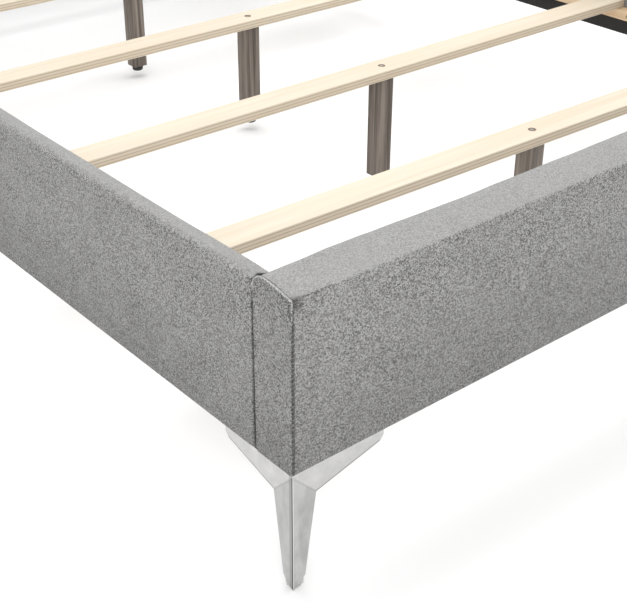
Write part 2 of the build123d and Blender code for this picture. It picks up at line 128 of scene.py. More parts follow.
class Graph:
    """A small helper that adds and links shader nodes."""

    def __init__(self, name, color=(0.5, 0.5, 0.5), roughness=0.5, **sockets):
        self.material = bpy.data.materials.new(name)
        self.material.use_nodes = True
        self.nodes = self.material.node_tree.nodes
        self.links = self.material.node_tree.links
        self.shader = self.nodes["Principled BSDF"]
        self.set("Base Color", (*color, 1.0))
        self.set("Roughness", roughness)
        for key, value in sockets.items():
            self.set(key.replace("_", " "), value)
        self.coords = self.nodes.new("ShaderNodeTexCoord").outputs["Object"]

    def set(self, socket, value):
        """Give one of the shader's sockets a constant."""
        self.shader.inputs[socket].default_value = value

    def link(self, source, socket):
        """Feed one of the shader's sockets."""
        self.links.new(source, self.shader.inputs[socket])

    def node(self, kind, inputs=None, **settings):
        """A new node with its inputs linked or set."""
        made = self.nodes.new(kind)
        for key, value in settings.items():
            setattr(made, key, value)
        for key, value in (inputs or {}).items():
            if isinstance(value, bpy.types.NodeSocket):
                self.links.new(value, made.inputs[key])
            else:
                made.inputs[key].default_value = value
        return made

    def stretch(self, scale):
        """Object coordinates, scaled by three numbers."""
        mapping = self.node("ShaderNodeMapping", {"Vector": self.coords, "Scale": scale})
        return mapping.outputs["Vector"]

    def noise(self, scale, detail, rough, vector=None):
        """Fractal noise over the object."""
        made = self.node(
            "ShaderNodeTexNoise",
            {
                "Vector": vector or self.coords, "Scale": scale, "Detail": detail,
                "Roughness": rough,
            },
        )
        return made.outputs["Fac"]

    def axis(self, vector, name):
        """One part of a vector."""
        return self.node("ShaderNodeSeparateXYZ", {"Vector": vector}).outputs[name]

    def wobble(self, amount):
        """Object coordinates, shifted about a little so that cells lose their straight edges."""
        made = self.node(
            "ShaderNodeTexNoise", {"Vector": self.coords, "Scale": WOBBLE_SCALE, "Detail": 1.0}
        )
        centred = self.node(
            "ShaderNodeVectorMath", {0: made.outputs["Color"], 1: (0.5, 0.5, 0.5)}, operation="SUBTRACT"
        ).outputs[0]
        scaled = self.node("ShaderNodeVectorMath", {0: centred}, operation="SCALE")
        scaled.inputs["Scale"].default_value = amount
        return self.node(
            "ShaderNodeVectorMath", {0: self.coords, 1: scaled.outputs[0]}, operation="ADD"
        ).outputs[0]

    def math(self, operation, a, b=0.0):
        """One sum on one or two values."""
        return self.node("ShaderNodeMath", {0: a, 1: b}, operation=operation).outputs[0]

    def spread(self, value, low, high, to_low=0.0, to_high=1.0):
        """A value mapped from one range onto another, and clamped to it."""
        made = self.node(
            "ShaderNodeMapRange",
            {"Value": value, "From Min": low, "From Max": high, "To Min": to_low, "To Max": to_high},
        )
        return made.outputs["Result"]

    def blend(self, factor, a, b):
        """Two colours or sockets mixed."""
        made = self.nodes.new("ShaderNodeMix")
        made.data_type = "RGBA"
        for index, value in ((0, factor), (6, a), (7, b)):
            if isinstance(value, bpy.types.NodeSocket):
                self.links.new(value, made.inputs[index])
            elif index == 0:
                made.inputs[index].default_value = value
            else:
                made.inputs[index].default_value = (*value, 1.0)
        return made.outputs[2]

    def bump(self, height, distance, strength, base=None):
        """A surface normal raised by a height, over another normal if one is given."""
        inputs = {"Height": height, "Distance": distance, "Strength": strength}
        if base is not None:
            inputs["Normal"] = base
        return self.node("ShaderNodeBump", inputs).outputs["Normal"]


def grey(value):
    """A neutral colour, a touch warm."""
    return (value, value * 0.992, value * 0.975)


def velvet(name, tone=1.0, z_low=None, z_high=None, marks=()):
    """Short-pile chenille velvet: a salt-and-pepper grain over soft brushed patches.

    Faces that look up are painted paler and smoother, a painted highlight. Each mark is a function that
    takes the graph and gives how far the cloth is darkened by painted shade, as in a seam. The cloth is
    also painted darker from z_high down to z_low, where those are given.
    """
    g = Graph(name, roughness=0.9, Sheen_Weight=0.22, Sheen_Roughness=0.4, Specular_IOR_Level=0.15)
    g.set("Sheen Tint", (1.0, 1.0, 1.0, 1.0))
    tufts = g.node("ShaderNodeTexVoronoi", {"Vector": g.wobble(0.0008), "Scale": TUFT_SCALE})
    shade = g.node("ShaderNodeSeparateColor", {0: tufts.outputs["Color"]}).outputs[0]
    shade = g.spread(shade, 0.22, 0.78)
    fine = g.spread(g.noise(FINE_SCALE, 1.0, 0.6), 0.38, 0.62)
    grain = g.math("ADD", g.math("MULTIPLY", shade, 0.74), g.math("MULTIPLY", fine, 0.26))
    color = g.blend(grain, grey(PILE_DARK * tone), grey(PILE_PALE * tone))
    patches = g.spread(g.noise(17.0, 5.0, 0.65), 0.40, 0.64)
    color = g.blend(g.math("MULTIPLY", patches, 0.18), color, grey(PILE_PATCH * tone))
    brushed = g.spread(g.noise(9.0, 3.0, 0.55, g.stretch((2.2, 2.2, 0.8))), 0.4, 0.7)
    color = g.blend(g.math("MULTIPLY", brushed, 0.14), color, grey(PILE_BRUSHED * tone))
    # Painted highlight: faces that look up are blended towards a paler, smoother grey.
    facing = g.node("ShaderNodeNewGeometry").outputs["Normal"]
    up = g.spread(g.axis(facing, "Z"), 0.45, 0.95)
    color = g.blend(g.math("MULTIPLY", up, 0.58), color, grey(PAINTED_TOP_LIGHT * tone))
    # Painted shade: the cloth is blended darker towards the bottom, from z_high down to z_low.
    if z_low is not None:
        depth = g.spread(g.axis(g.coords, "Z"), z_low, z_high, 0.34, 0.0)
        color = g.blend(depth, color, grey(PAINTED_LOW_SHADE * tone))
    # Painted shade from each mark, at joints, seams, the pucker and the crease.
    for mark in marks:
        color = g.blend(mark(g), color, grey(PAINTED_SHADE_GREY))
    g.link(color, "Base Color")
    normal = g.bump(g.noise(26.0, 4.0, 0.6), 0.0030, 0.20)
    pile = g.math("SUBTRACT", fine, g.math("MULTIPLY", tufts.outputs["Distance"], 1.4))
    g.link(g.bump(pile, 0.0009, 0.7, normal), "Normal")
    return g.material


def near(g, value, place, reach, strength, core=0.35):
    """How far a mark shows: strength over its core, fading to nothing at its reach."""
    away = g.math("ABSOLUTE", g.math("SUBTRACT", value, place))
    return g.spread(away, reach * core, reach, strength, 0.0)


def joint_mark(g):
    """The shadow where a rail's cloth meets the footboard."""
    return near(g, g.axis(g.coords, "Y"), RAIL_LO.y, *JOINT_FADE)


def cap_edge_shade(g):
    """The painted shadow where an end cap meets the rail, and painted shade in dashes along its front
    seam.
    """
    y = g.axis(g.coords, "Y")
    back = near(g, y, CAP_HI.y, *CAP_BACK_FADE)
    front = g.math("MULTIPLY", near(g, y, CAP_LO.y, *CAP_FRONT_FADE), dashes(g, "Z"))
    return g.math("MAXIMUM", back, front)


def seam_and_pucker_shade(g):
    """Painted shade in dashes along the seam at each end of the footboard, and a painted shadow in the
    pucker at its top.
    """
    across = g.math("ABSOLUTE", g.axis(g.coords, "X"))
    seam = g.math("MULTIPLY", near(g, across, FOOT_HI.x, *SEAM_FADE), dashes(g, "Z"))
    top = CAP_HI.z - CREASE_DROP
    high = near(g, g.axis(g.coords, "Z"), top - PUCKER_DROP, *PUCKER_HEIGHT_FADE)
    front = near(g, g.axis(g.coords, "Y"), CAP_LO.y, *PUCKER_DEPTH_FADE)
    pucker_shadow = g.math("MULTIPLY", near(g, across, FOOT_HI.x, *PUCKER_WIDTH_FADE), high)
    return g.math("MAXIMUM", seam, g.math("MULTIPLY", pucker_shadow, front))


def crease_mark(g):
    """Painted shade along the crease between the footboard's front and its crown, broken up by noise.
    """
    level = near(g, g.axis(g.coords, "Z"), CAP_HI.z - CREASE_DROP, *CREASE_FADE)
    front = near(g, g.axis(g.coords, "Y"), CAP_LO.y, *CREASE_DEPTH_FADE)
    broken = g.spread(g.noise(40.0, 3.0, 0.6), 0.45, 0.60)
    return g.math("MULTIPLY", g.math("MULTIPLY", level, front), broken)


def dashes(g, axis):
    """Short dashes, one for each stitch, along an axis."""
    cycle = g.math("FRACT", g.math("DIVIDE", g.axis(g.coords, axis), STITCH_PITCH))
    return g.spread(g.math("ABSOLUTE", g.math("SUBTRACT", cycle, 0.5)), 0.22, 0.36, 1.0, 0.62)


def lining():
    """Thin black non-woven cloth with pressed dots and stray fibres."""
    g = Graph("lining_black", roughness=0.92, Specular_IOR_Level=0.25)
    fibres = g.noise(900.0, 3.0, 0.7, g.stretch((0.4, 1.0, 1.0)))
    dots = g.node("ShaderNodeTexVoronoi", {"Vector": g.coords, "Scale": 260.0}).outputs["Distance"]
    cloud = g.noise(14.0, 4.0, 0.6)
    color = g.blend(g.spread(fibres, 0.35, 0.7), (0.018, 0.018, 0.019), (0.055, 0.054, 0.052))
    color = g.blend(g.math("MULTIPLY", cloud, 0.4), color, (0.035, 0.034, 0.033))
    g.link(color, "Base Color")
    normal = g.bump(dots, 0.0006, 0.5)
    g.link(g.bump(fibres, 0.0004, 0.5, normal), "Normal")
    return g.material


def wood(name, pale, dark, along, grain=1.0, rough=0.55, plies=None, knots=0.0):
    """Straight-grained wood. along is the grain's axis; plies is the veneer pitch in metres."""
    g = Graph(name, roughness=rough, Specular_IOR_Level=0.35)
    lanes = [1.0, 1.0, 1.0]
    lanes[along] = 0.028
    figure = g.noise(95.0, 5.0, 0.65, g.stretch(lanes))
    lanes[along] = 0.012
    pores = g.noise(620.0, 2.0, 0.6, g.stretch(lanes))
    lanes[along] = 0.25
    clouds = g.noise(7.0, 3.0, 0.5, g.stretch(lanes))
    color = g.blend(g.math("MULTIPLY", g.spread(figure, 0.38, 0.72), grain), pale, dark)
    color = g.blend(g.math("MULTIPLY", g.spread(pores, 0.52, 0.72), 0.35 * grain), color, dark)
    color = g.blend(g.math("MULTIPLY", g.spread(clouds, 0.45, 0.7), 0.35), color, dark)
    height = figure
    if knots:
        spots = g.node(
            "ShaderNodeTexVoronoi", {"Vector": g.stretch((3.0, 9.0, 9.0)), "Scale": 1.0}
        ).outputs["Distance"]
        color = g.blend(g.spread(spots, 0.06, 0.0, 0.0, knots), color, (0.25, 0.15, 0.08))
    if plies:
        color, height = add_plies(g, color, height, plies, dark)
    g.link(color, "Base Color")
    g.link(g.bump(height, 0.0006, 0.35), "Normal")
    g.link(g.spread(pores, 0.3, 0.7, rough - 0.08, rough + 0.12), "Roughness")
    return g.material


def add_plies(g, color, height, pitch, dark):
    """Glue lines between veneers on the faces that stand upright."""
    z = g.axis(g.coords, "Z")
    wander = g.math("MULTIPLY", g.noise(30.0, 2.0, 0.5, g.stretch((0.1, 1.0, 1.0))), 0.0009)
    layer = g.math("DIVIDE", g.math("ADD", z, wander), pitch)
    line = g.math("FRACT", layer)
    tone = g.math("FRACT", g.math("MULTIPLY", g.math("FLOOR", layer), 0.618))
    facing = g.node("ShaderNodeNewGeometry").outputs["Normal"]
    up = g.math("ABSOLUTE", g.axis(facing, "Z"))
    side = g.spread(up, 0.5, 0.2)
    color = g.blend(g.math("MULTIPLY", g.math("MULTIPLY", tone, side), 0.55), color, dark)
    glue = g.math("MULTIPLY", g.spread(line, 0.34, 0.08), side)
    color = g.blend(g.math("MULTIPLY", glue, 0.75), color, (0.33, 0.235, 0.14))
    return color, g.math("SUBTRACT", height, glue)


def wing_edge_shadow(g, out, reach):
    """A painted shadow line along the under edge of a wing, from the knee out to its tip."""
    slope = (LEG_HI.z - WING_TIP - KNEE_Z) / (reach - KNEE_OUT)
    line = g.math("SUBTRACT", g.axis(g.coords, "Z"), g.math("MULTIPLY", out, slope))
    mark = near(g, line, KNEE_Z - slope * KNEE_OUT, *WING_EDGE_FADE)
    return g.math("MULTIPLY", mark, g.math("GREATER_THAN", out, KNEE_OUT))


def chrome():
    """Polished plate, smudged and wavy.

    The posts are painted darker, more on faces that look along X, and streaked, and meet the wings in a
    fold that runs up from each knee, marked with painted shade. The ridge has a painted highlight on
    one side and painted shade on the other, with a painted dark stripe beside it, and under edges get
    painted shade.
    """
    g = Graph("chrome_plate", (0.60, 0.60, 0.60), 0.12, Metallic=1.0)
    smudge = g.noise(42.0, 5.0, 0.65)
    g.link(g.spread(smudge, 0.35, 0.75, 0.10, 0.24), "Roughness")
    color = g.blend(g.spread(smudge, 0.3, 0.7), (0.66, 0.655, 0.65), (0.52, 0.52, 0.515))
    across = g.math("SUBTRACT", LEG_HI_X, g.math("ABSOLUTE", g.axis(g.coords, "X")))
    along = g.math("SUBTRACT", LEG_HI_Y, g.math("ABSOLUTE", g.axis(g.coords, "Y")))
    out = g.math("MAXIMUM", across, along)
    fold = g.math("ADD", g.axis(g.coords, "Z"), g.math("MULTIPLY", out, FOLD_SLOPE))
    post = g.spread(fold, LEG_HI.z - FOLD_BLUR, LEG_HI.z + FOLD_BLUR, 1.0, 0.0)
    facing = g.node("ShaderNodeNewGeometry").outputs["Normal"]
    to_x = g.math("ABSOLUTE", g.axis(facing, "X"))
    to_y = g.math("ABSOLUTE", g.axis(facing, "Y"))
    # Painted shade on the posts, stronger on the faces that look along X.
    shaded = g.math("MULTIPLY", post, g.spread(to_y, 0.3, 0.8, 0.46, 0.28))
    color = g.blend(shaded, color, (0.37, 0.375, 0.37))
    streaks = g.spread(g.noise(34.0, 4.0, 0.6, g.stretch((1.0, 1.0, 0.30))), 0.42, 0.62)
    streaks = g.math("MULTIPLY", streaks, post)
    color = g.blend(g.math("MULTIPLY", streaks, 0.34), color, (0.17, 0.17, 0.17))
    # Painted shade along the fold between each post and its wings.
    crease = near(g, fold, LEG_HI.z, *FOLD_FADE)
    color = g.blend(crease, color, (0.20, 0.20, 0.20))
    # Painted shadow along the under edges of the wings.
    edge = g.math(
        "MAXIMUM", wing_edge_shadow(g, across, LEG_HI.x - LEG_LO.x), wing_edge_shadow(g, along, LEG_HI.y - LEG_LO.y)
    )
    color = g.blend(edge, color, (0.06, 0.06, 0.06))
    # Painted dark reflection: a dark stripe beside the ridge on the faces that look along X.
    stripe = g.math("MULTIPLY", g.spread(out, *STRIPE_REACH), g.math("GREATER_THAN", to_x, to_y))
    color = g.blend(g.math("MULTIPLY", stripe, 0.42), color, (0.13, 0.13, 0.13))
    # Painted highlight and shade on the rounded ridge: dark on the side that looks along X, bright on
    # the side that looks along Y.
    ridge = g.spread(g.math("MULTIPLY", to_x, to_y), 0.10, 0.22)
    ridge = g.math("MULTIPLY", ridge, g.spread(out, *RIDGE_REACH))
    half = g.math("GREATER_THAN", to_y, g.math("MULTIPLY", to_x, 1.5))
    ridge_highlight_and_shade = g.blend(half, (0.09, 0.09, 0.09), (0.85, 0.85, 0.85))
    color = g.blend(ridge, color, ridge_highlight_and_shade)
    # Painted shade on faces that look down.
    down_facing_shade = g.spread(g.axis(facing, "Z"), -0.3, -0.6)
    g.link(g.blend(g.math("MULTIPLY", down_facing_shade, 0.8), color, (0.10, 0.10, 0.10)), "Base Color")
    normal = g.bump(g.noise(22.0, 2.0, 0.5), 0.0012, 0.35)
    g.link(g.bump(g.noise(700.0, 2.0, 0.5), 0.00008, 0.3, normal), "Normal")
    return g.material


def steel():
    """Zinc-plated steel, lightly brushed and clouded."""
    g = Graph("zinc_steel", (0.55, 0.55, 0.54), 0.35, Metallic=1.0)
    cloud = g.noise(120.0, 4.0, 0.6)
    g.link(g.blend(g.spread(cloud, 0.3, 0.7), (0.42, 0.42, 0.41), (0.64, 0.64, 0.62)), "Base Color")
    g.link(g.spread(cloud, 0.3, 0.7, 0.25, 0.5), "Roughness")
    g.link(g.bump(g.noise(500.0, 2.0, 0.5, g.stretch((1.0, 1.0, 0.1))), 0.0001, 0.4), "Normal")
    return g.material


def plastic(name, color, roughness, **sockets):
    """Moulded plastic with a fine spark-eroded texture."""
    g = Graph(name, color, roughness, **sockets)
    texture = g.noise(1400.0, 2.0, 0.5)
    g.link(g.bump(texture, 0.00012, 0.6), "Normal")
    g.link(g.spread(g.noise(60.0, 3.0, 0.6), 0.3, 0.7, roughness * 0.8, roughness * 1.25), "Roughness")
    return g.material


def thread(name, color):
    """Twisted sewing thread."""
    g = Graph(name, color, 0.75, Sheen_Weight=0.2)
    twist = g.noise(2600.0, 1.0, 0.5)
    g.link(g.blend(twist, tuple(c * 0.6 for c in color), tuple(c * 1.3 for c in color)), "Base Color")
    g.link(g.bump(twist, 0.0002, 0.6), "Normal")
    return g.material


# The first three velvets get painted shade towards the bottom, between the two heights given.
VELVET = velvet("velvet_grey", 1.0, RAIL_LO.z, RAIL_LO.z + 0.16, (seam_and_pucker_shade, crease_mark))
VELVET_RAIL = velvet("velvet_grey_rail", 1.0, RAIL_LO.z, RAIL_LO.z + 0.12, (joint_mark,))
# The end caps take a darker copy of the same velvet: painted shade on their faces.
VELVET_CAP_SHADED = velvet("velvet_grey_end_shaded", 0.90, RAIL_LO.z, RAIL_LO.z + 0.09, (cap_edge_shade,))
# The welt takes a paler copy of the same velvet: a painted highlight along the raised welt.
VELVET_WELT_LIT = velvet("velvet_grey_welt_painted_highlight", 1.35)
VELVET_HEAD = velvet("velvet_grey_head", 1.0)
LINING = lining()
SLAT_WOOD = wood("veneer_pale", (0.715, 0.640, 0.525), (0.60, 0.495, 0.365), 0, 0.55, plies=0.0058)
PINE = wood("pine_strip", (0.66, 0.50, 0.33), (0.47, 0.31, 0.17), 1, 0.8, knots=0.8)
FRAME_WOOD = wood("frame_wood", (0.62, 0.48, 0.32), (0.43, 0.29, 0.17), 2, 0.8, plies=0.0031)
STAINED = wood("stained_wood", (0.262, 0.222, 0.188), (0.062, 0.048, 0.038), 2, 1.25, 0.5)
CRUSHED_WOOD = wood("crushed_wood", (0.24, 0.17, 0.11), (0.12, 0.08, 0.05), 0, 1.0, 0.7)
CHROME = chrome()
STEEL = steel()
BLACK_PLASTIC = plastic("black_plastic", (0.016, 0.016, 0.017), 0.42)
MILKY_PLASTIC = plastic("milky_plastic", (0.80, 0.80, 0.79), 0.28, Transmission_Weight=0.35)
THREAD = thread("thread_grey", (0.10, 0.10, 0.098))

CAD_FINISHES = {
    "dark_lining": LINING, "slat_wood": SLAT_WOOD, "pine": PINE, "frame_wood": FRAME_WOOD,
    "stained_wood": STAINED, "chrome": CHROME, "zinc_steel": STEEL,
    "black_plastic": BLACK_PLASTIC, "clear_plastic": MILKY_PLASTIC, "grey_velvet": VELVET,
}


def finish_cad_nodes():
    """Every carried-over CAD node takes the finish of its slot in the record."""
    for part in frame["record"]["subparts"]:
        node = frame["nodes"][part["node"]]
        node.data.materials.clear()
        node.data.materials.append(CAD_FINISHES[part["material_slot"]])


# ---------------------------------------------------------------- mesh helpers

def piece(name, points, faces, material, replaces=(), smooth=True):
    """A mesh piece that rides on the bed frame."""
    mesh = bpy.data.meshes.new(name)
    mesh.from_pydata([tuple(p) for p in points], [], [tuple(int(i) for i in f) for f in faces])
    mesh.validate()
    mesh.materials.append(material)
    mesh.polygons.foreach_set("use_smooth", [smooth] * len(mesh.polygons))
    made = bpy.data.objects.new(name, mesh)
    bpy.context.scene.collection.objects.link(made)
    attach(made, BODY)
    if replaces:
        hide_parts(*replaces)
    return made


def side_name(side):
    """The word for a side: -1 is left, 1 is right."""
    return "left" if side < 0 else "right"


def resample(points, step):
    """A closed outline, with its long runs divided to about one step."""
    made = []
    for a, b in zip(points, points[1:] + points[:1]):
        count = max(1, round(math.dist(a, b) / step))
        made += [tuple(np.array(a) + (np.array(b) - np.array(a)) * k / count) for k in range(count)]
    return made


def arc(centre, radius, start, end, count):
    """Points along an arc, angles in degrees."""
    angles = [math.radians(start + (end - start) * k / count) for k in range(count + 1)]
    return [(centre[0] + radius * math.cos(a), centre[1] + radius * math.sin(a)) for a in angles]


def grid_faces(rows, columns, closed, offset=0, flip=False):
    """Quads of a grid whose rows may close on themselves."""
    faces = []
    span = columns if closed else columns - 1
    for r in range(rows - 1):
        for c in range(span):
            a = offset + r * columns + c
            b = offset + r * columns + (c + 1) % columns
            quad = (a, b, b + columns, a + columns)
            faces.append(quad[::-1] if flip else quad)
    return faces


def even_steps(low, high, step):
    """Evenly spaced values from low to high."""
    return np.linspace(low, high, max(2, round((high - low) / step) + 1))


def sleeve(outer, hole, stations, place):
    """A padded sleeve round a board: outer outline, rectangular hole, flat ends."""
    centre = np.mean(hole, axis=0)
    inner = [tuple(hit_rectangle(np.array(p), centre, hole)) for p in outer]
    columns = len(outer)
    rows = len(stations)
    points = [place(s, p) for s in stations for p in outer]
    points += [place(s, p) for s in stations for p in inner]
    back = rows * columns
    faces = grid_faces(rows, columns, True)
    faces += grid_faces(rows, columns, True, back, True)
    for row, flip in ((0, True), (rows - 1, False)):
        for c in range(columns):
            d = (c + 1) % columns
            here = row * columns + c
            after = row * columns + d
            quad = (here, after, back + after, back + here)
            faces.append(quad if flip else quad[::-1])
    return points, faces, back


def hit_rectangle(point, centre, hole):
    """Where the ray from the hole's centre to a point leaves the rectangular hole."""
    far = hole[1]
    way = point - centre
    reach = 1.0
    for k in (0, 1):
        if way[k]:
            reach = min(reach, (far[k] - centre[k]) / abs(way[k]))
    return centre + way * reach


def settle(made, held, cap, pressure=4.0):
    """Inflate a padded piece as cloth, moving no point further than the cap.

    held(point) gives 1 where the cloth is sewn or stapled, and 0 where it is free.
    """
    mesh = made.data
    before = np.array([v.co for v in mesh.vertices])
    weights = [held(p) for p in before]
    group = made.vertex_groups.new(name="held")
    for index, weight in enumerate(weights):
        if weight > 0:
            group.add([index], weight, "REPLACE")
    cloth = made.modifiers.new("cloth", "CLOTH")
    cloth.settings.quality = 4
    cloth.settings.mass = 0.3
    cloth.settings.tension_stiffness = 12.0
    cloth.settings.compression_stiffness = 10.0
    cloth.settings.shear_stiffness = 6.0
    cloth.settings.bending_stiffness = 1.2
    cloth.settings.vertex_group_mass = "held"
    cloth.settings.use_pressure = True
    cloth.settings.uniform_pressure_force = pressure
    cloth.settings.effector_weights.gravity = 0.0
    cloth.collision_settings.use_collision = False
    cloth.point_cache.frame_start = 1
    cloth.point_cache.frame_end = CLOTH_FRAMES
    for number in range(1, CLOTH_FRAMES + 1):
        bpy.context.scene.frame_set(number)
    shown = made.evaluated_get(bpy.context.evaluated_depsgraph_get())
    after = np.array([v.co for v in shown.data.vertices])
    made.modifiers.remove(cloth)
    bpy.context.scene.frame_set(1)
    moved = np.nan_to_num(after - before)
    length = np.maximum(np.linalg.norm(moved, axis=1), NEVER_ZERO)
    limited = cap * np.tanh(length / cap)
    after = before + moved * (limited / length)[:, None]
    mesh.vertices.foreach_set("co", after.ravel())
    mesh.update()


def ripple(made, amount, scale, free):
    """Soft unevenness of foam under cloth, along each point's normal, as free(point) allows."""
    mesh = made.data
    normals = [v.normal.copy() for v in mesh.vertices]
    for vertex, normal in zip(mesh.vertices, normals):
        strength = amount * free(vertex.co)
        if strength:
            vertex.co += normal * (strength * noise.fractal(vertex.co * scale, 1.0, 2.0, 3))
    mesh.update()


def stitches(name, path, normal):
    """A row of short thread stitches along a path, lying on a surface."""
    points = []
    faces = []
    lengths = [0.0]
    for a, b in zip(path, path[1:]):
        lengths.append(lengths[-1] + (b - a).length)
    count = int(lengths[-1] / STITCH_PITCH)
    for k in range(count):
        begin = (k + STITCH_START) * STITCH_PITCH
        start = along_path(path, lengths, begin)
        end = along_path(path, lengths, begin + STITCH_LENGTH)
        add_stitch(points, faces, start, end, normal)
    piece(name, points, faces, THREAD)


def along_path(path, lengths, distance):
    """The point at a distance along a path."""
    for k in range(1, len(path)):
        if lengths[k] >= distance:
            t = (distance - lengths[k - 1]) / max(lengths[k] - lengths[k - 1], NEVER_ZERO)
            return path[k - 1].lerp(path[k], t)
    return path[-1].copy()


def add_stitch(points, faces, start, end, normal):
    """One stitch: a bead that bows up and dives in at both ends.

    The profile gives, along the stitch, its width and its lift as shares of the thread's radius.
    """
    side = (end - start).normalized().cross(normal).normalized()
    first = len(points)
    profile = (
        (0.0, 0.25, -1.0), (0.18, 0.9, 0.0), (0.5, 1.0, 0.35), (0.82, 0.9, 0.0), (1.0, 0.25, -1.0),
    )
    for t, width, lift in profile:
        middle = start.lerp(end, t) + normal * (STITCH_RADIUS * lift)
        for k in range(STITCH_SIDES):
            angle = math.tau * k / STITCH_SIDES
            points.append(
                middle + (side * math.cos(angle) + normal * math.sin(angle)) * STITCH_RADIUS * width
            )
    faces += grid_faces(len(profile), STITCH_SIDES, True, first)
    last = first + (len(profile) - 1) * STITCH_SIDES
    faces.append(tuple(first + k for k in reversed(range(STITCH_SIDES))))
    faces.append(tuple(last + k for k in range(STITCH_SIDES)))


# ---------------------------------------------------------------- footboard

FOOT_BACK_ROUND = 0.018
FRONT_ROUND = 0.0028
BASE_ROUND = 0.004
CROWN_STEPS = 8
CROWN_LIFT = 0.0002
END_FADE = 0.03
BASE_FADE = 0.03
TUCK_DEPTH = 0.0042
CAP_STEP = 0.005
CAP_INNER = 0.017
CAP_SPINE_LOW = 0.034
CAP_SPINE_HIGH = 0.036
DIMPLE_REACH = 0.014
DIMPLE_IN = 0.0022
DIMPLE_BACK = 0.0016
WELT_RADIUS = 0.0014
WELT_SIDES = 8
WELT_DROP = 0.034
WELT_TAPER = 4
WELT_THIN = 0.3


def footboard_outline(inset=0.0):
    """The footboard's section (y, z), counter-clockwise from the front's foot."""
    front = CAP_LO.y + inset
    back = CAP_HI.y - inset
    base = CAP_LO.z + inset
    crown = CAP_HI.z - CROWN_LIFT - inset
    crease = CAP_HI.z - CREASE_DROP - inset
    r = BASE_ROUND
    points = arc((front + r, base + r), r, 270, 180, 3)
    points += [(front, crease - FRONT_ROUND * 1.4)]
    points += [(front + 0.0006, crease - 0.0006), (front + 0.0030, crease + 0.0009)]
    span = back - FOOT_BACK_ROUND - front
    for k in range(1, CROWN_STEPS + 1):
        t = k / CROWN_STEPS
        rise = math.sin(t * math.pi / 2) ** 0.9
        points.append((front + span * (0.06 + 0.94 * t), crease + (crown - crease) * rise))
    points += arc((back - FOOT_BACK_ROUND, crown - FOOT_BACK_ROUND), FOOT_BACK_ROUND, 80, 0, 7)
    points += arc((back - r, base + r), r, 0, -90, 3)
    return points


def foot_free(point):
    """1 on the middle of a padded face, 0 at its sewn ends, base, board and inner face."""
    if board_side(point) or point[1] > CAP_HI.y - 0.003:
        return 0.0
    ends = min(point[0] - FOOT_LO.x, FOOT_HI.x - point[0])
    base = point[2] - CAP_LO.z
    return float(np.clip(ends / END_FADE, 0, 1) * np.clip(base / BASE_FADE, 0, 1))


def make_footboard():
    """The cover between the two end caps, crowned on top and drawn down at its ends."""
    outline = resample(footboard_outline(), GRID)
    hole = ((FOOT_BOARD_LO.y, FOOT_BOARD_LO.z), (FOOT_BOARD_HI.y, FOOT_BOARD_HI.z))
    stations = even_steps(FOOT_LO.x, FOOT_HI.x, GRID)
    points, faces, back = sleeve(outline, hole, stations, lambda s, p: (s, p[0], p[1]))
    points = [Vector(p) for p in points]
    for p in points[:back]:
        tuck_corner(p)
        if p.y > CAP_HI.y - 0.0005 and p.z < FOOT_LINING_HI.z:
            p.y = FOOT_LINING_LO.y - UNDER_LINING
    made = piece(
        "footboard_upholstery", points, faces, VELVET, ("footboard_cover",)
    )
    settle(made, lambda p: 1.0 - foot_free(p), 0.0022)
    ripple(made, 0.0011, 11.0, foot_free)
    subdivide(made)


def board_side(p):
    """Whether a point of the cover lies against the board inside it."""
    return (
        FOOT_BOARD_LO.y - ON_BOARD < p[1] < FOOT_BOARD_HI.y + ON_BOARD
        and FOOT_BOARD_LO.z - ON_BOARD < p[2] < FOOT_BOARD_HI.z + ON_BOARD
    )


def tuck_corner(p):
    """Pull the cloth in where the front seam and the top crease meet at each end."""
    end = min(p.x - FOOT_LO.x, FOOT_HI.x - p.x)
    crease = CAP_HI.z - CREASE_DROP
    reach = math.hypot(end / 0.020, (p.z - crease + 0.013) / 0.017)
    if p.y < CAP_LO.y + 0.012:
        p.y += TUCK_DEPTH * math.exp(-reach * reach)


def subdivide(made):
    """One smooth subdivision for the final surface."""
    modifier = made.modifiers.new("smooth", "SUBSURF")
    modifier.levels = 1
    modifier.render_levels = 1


def even_outline(inset=0.0):
    """The footboard's outline drawn in by an inset, with the same points at every inset."""
    full = footboard_outline()
    drawn = footboard_outline(inset)
    made = []
    for k, (a, b) in enumerate(zip(full, full[1:] + full[:1])):
        count = max(1, round(math.dist(a, b) / CAP_STEP))
        start = np.array(drawn[k])
        end = np.array(drawn[(k + 1) % len(drawn)])
        made += [tuple(start + (end - start) * n / count) for n in range(count)]
    return made


def make_end_cap(side):
    """A flat sewn end with a rounded edge, a shallow groove inside it and a row of stitches.

    Each ring gives an inset from the outline, the plane it lies on and its depth behind that.
    """
    name = side_name(side)
    low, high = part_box(f"footboard_end_cap_{name}")
    face = low.x if side < 0 else high.x
    joint = high.x if side < 0 else low.x
    rings = (
        (0.0, joint, 0.0), (0.0, face, 0.0026), (0.0006, face, 0.0010), (0.0020, face, 0.0),
        (0.0036, face, 0.0002), (0.0048, face, 0.0007), (0.0060, face, 0.0006),
        (0.0100, face, 0.0007), (CAP_INNER, face, 0.0004),
    )
    points = []
    for inset, plane, depth in rings:
        points += [(plane - side * depth, y, z) for y, z in even_outline(inset)]
    points += cap_spine(face - side * 0.0002)
    points = [dimple(Vector(p), face, side) for p in points]
    count = len(even_outline())
    faces = grid_faces(len(rings) + 1, count, True, 0, side > 0)
    faces.append(tuple(range(count))[:: -1 if side < 0 else 1])
    made = piece(
        f"footboard_end_{name}_cloth", points, faces, VELVET_CAP_SHADED,
        (f"footboard_end_cap_{name}",),
    )
    weld(made)
    stitch_cap(name, face, side)


